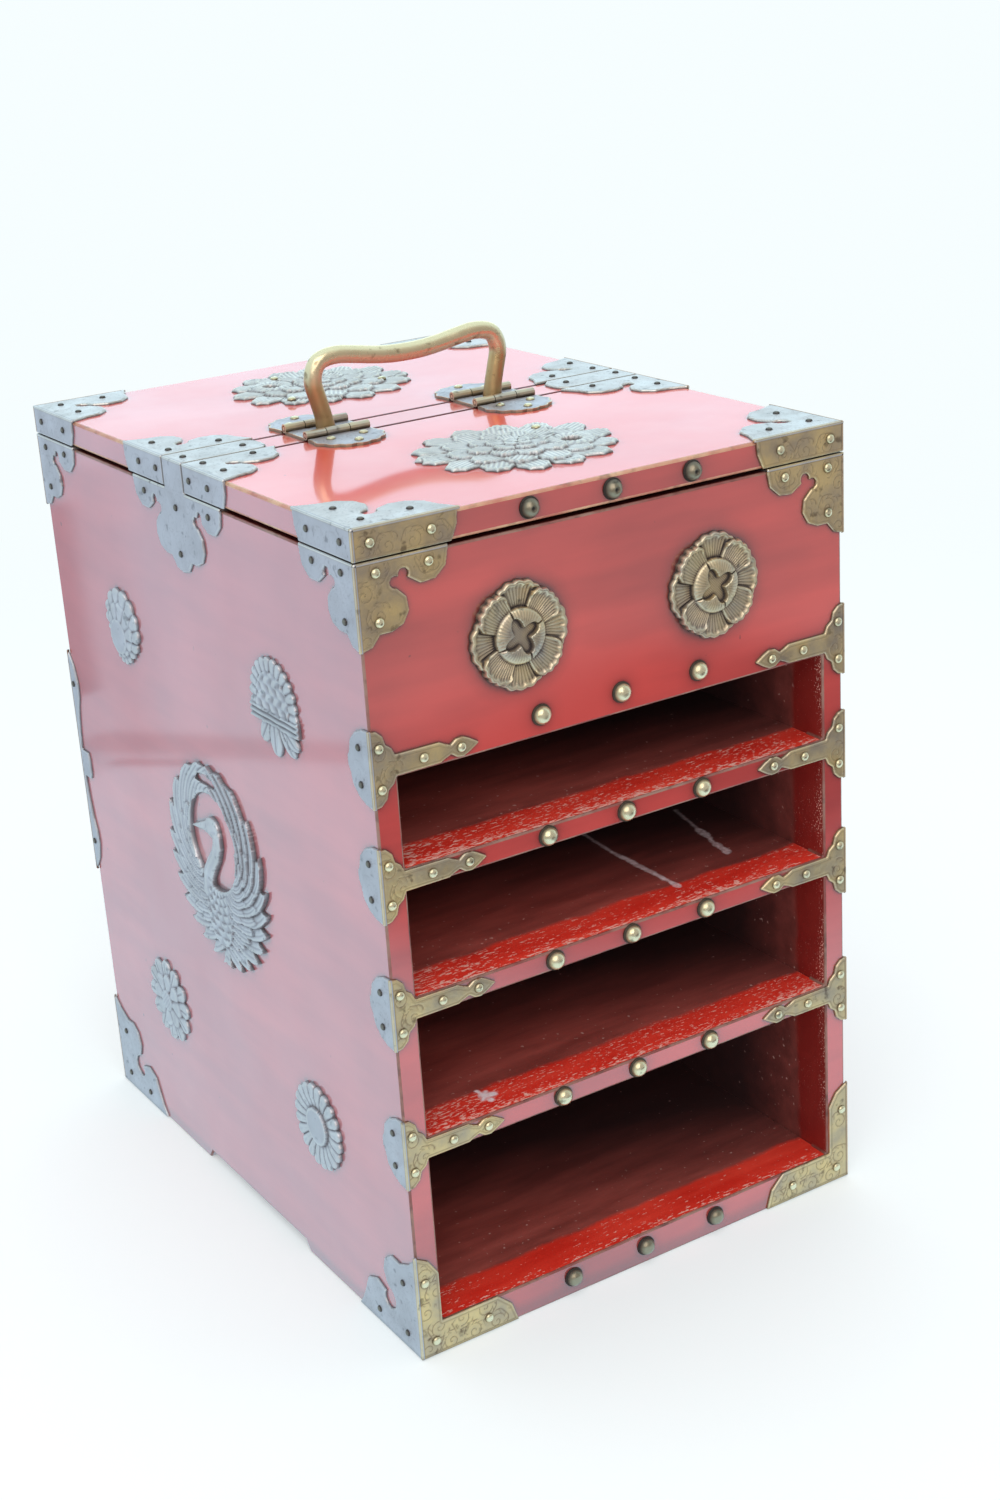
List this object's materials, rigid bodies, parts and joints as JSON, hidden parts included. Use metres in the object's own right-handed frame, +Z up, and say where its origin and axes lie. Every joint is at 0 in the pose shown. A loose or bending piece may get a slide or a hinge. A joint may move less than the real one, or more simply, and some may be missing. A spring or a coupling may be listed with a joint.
{
  "type": "jewellery cabinet",
  "caption": "Red lacquer jewellery cabinet with brass mounts, open drawer bays in front, and hinged top lids either side of a fixed bar with a carrying handle.",
  "frame": {"origin": "on the floor, under the middle of the cabinet's bounding box", "axes": "+Z up, -Y towards the viewer of the drawer bays, +X to that viewer's right"},
  "size_m": [0.204, 0.266, 0.3384],
  "materials": {
    "lacquered_wood": "glossy red lacquer, worn to gold brown on the edges",
    "mount_brass": "aged brass, engraved and chased",
    "handle_brass": "polished brass"
  },
  "bodies": {
    "cabinet": {"left_side_board": "lacquered_wood", "right_side_board": "lacquered_wood", "back_board": "lacquered_wood", "front_panel": "lacquered_wood", "compartment_floor": "lacquered_wood", "upper_shelf": "lacquered_wood", "middle_shelf": "lacquered_wood", "lower_shelf": "lacquered_wood", "bottom_board": "lacquered_wood", "centre_bar": "lacquered_wood", "front_left_corner_mount": "mount_brass", "front_left_foot_mount": "mount_brass", "rear_left_corner_mount": "mount_brass", "rear_left_foot_mount": "mount_brass", "left_panel_bracket": "mount_brass", "left_upper_shelf_bracket": "mount_brass", "left_middle_shelf_bracket": "mount_brass", "left_lower_shelf_bracket": "mount_brass", "left_rear_edge_mount": "mount_brass", "left_bar_end_mount": "mount_brass", "front_right_corner_mount": "mount_brass", "front_right_foot_mount": "mount_brass", "rear_right_corner_mount": "mount_brass", "rear_right_foot_mount": "mount_brass", "right_panel_bracket": "mount_brass", "right_upper_shelf_bracket": "mount_brass", "right_middle_shelf_bracket": "mount_brass", "right_lower_shelf_bracket": "mount_brass", "right_rear_edge_mount": "mount_brass", "right_bar_end_mount": "mount_brass", "left_rosette": "mount_brass", "right_rosette": "mount_brass", "left_crane_roundel": "mount_brass", "right_crane_roundel": "mount_brass", "carrying_handle": "handle_brass", "left_hinge_plate": "mount_brass", "right_hinge_plate": "mount_brass", "left_handle_washer": "mount_brass", "right_handle_washer": "mount_brass", "front_left_hinge_pin": "mount_brass", "front_right_hinge_pin": "mount_brass", "rear_left_hinge_pin": "mount_brass", "rear_right_hinge_pin": "mount_brass"},
    "front_lid": {"front_lid_board": "lacquered_wood", "front_left_lid_corner_mount": "mount_brass", "front_left_lid_inner_mount": "mount_brass", "front_left_hinge_leaf": "mount_brass", "front_right_lid_corner_mount": "mount_brass", "front_right_lid_inner_mount": "mount_brass", "front_right_hinge_leaf": "mount_brass", "front_lid_medallion": "mount_brass"},
    "rear_lid": {"rear_lid_board": "lacquered_wood", "rear_left_lid_corner_mount": "mount_brass", "rear_left_lid_inner_mount": "mount_brass", "rear_left_hinge_leaf": "mount_brass", "rear_right_lid_corner_mount": "mount_brass", "rear_right_lid_inner_mount": "mount_brass", "rear_right_hinge_leaf": "mount_brass", "rear_lid_medallion": "mount_brass"}
  },
  "joints": [
    {"name": "front_lid_hinge", "type": "hinge", "parent": "cabinet", "child": "front_lid", "pos_m": [0, -0.0071, 0.3094], "axis": [-1, 0, 0], "range_deg": [0, 93]},
    {"name": "rear_lid_hinge", "type": "hinge", "parent": "cabinet", "child": "rear_lid", "pos_m": [0, 0.0097, 0.3094], "axis": [1, 0, 0], "range_deg": [0, 93]}
  ]
}
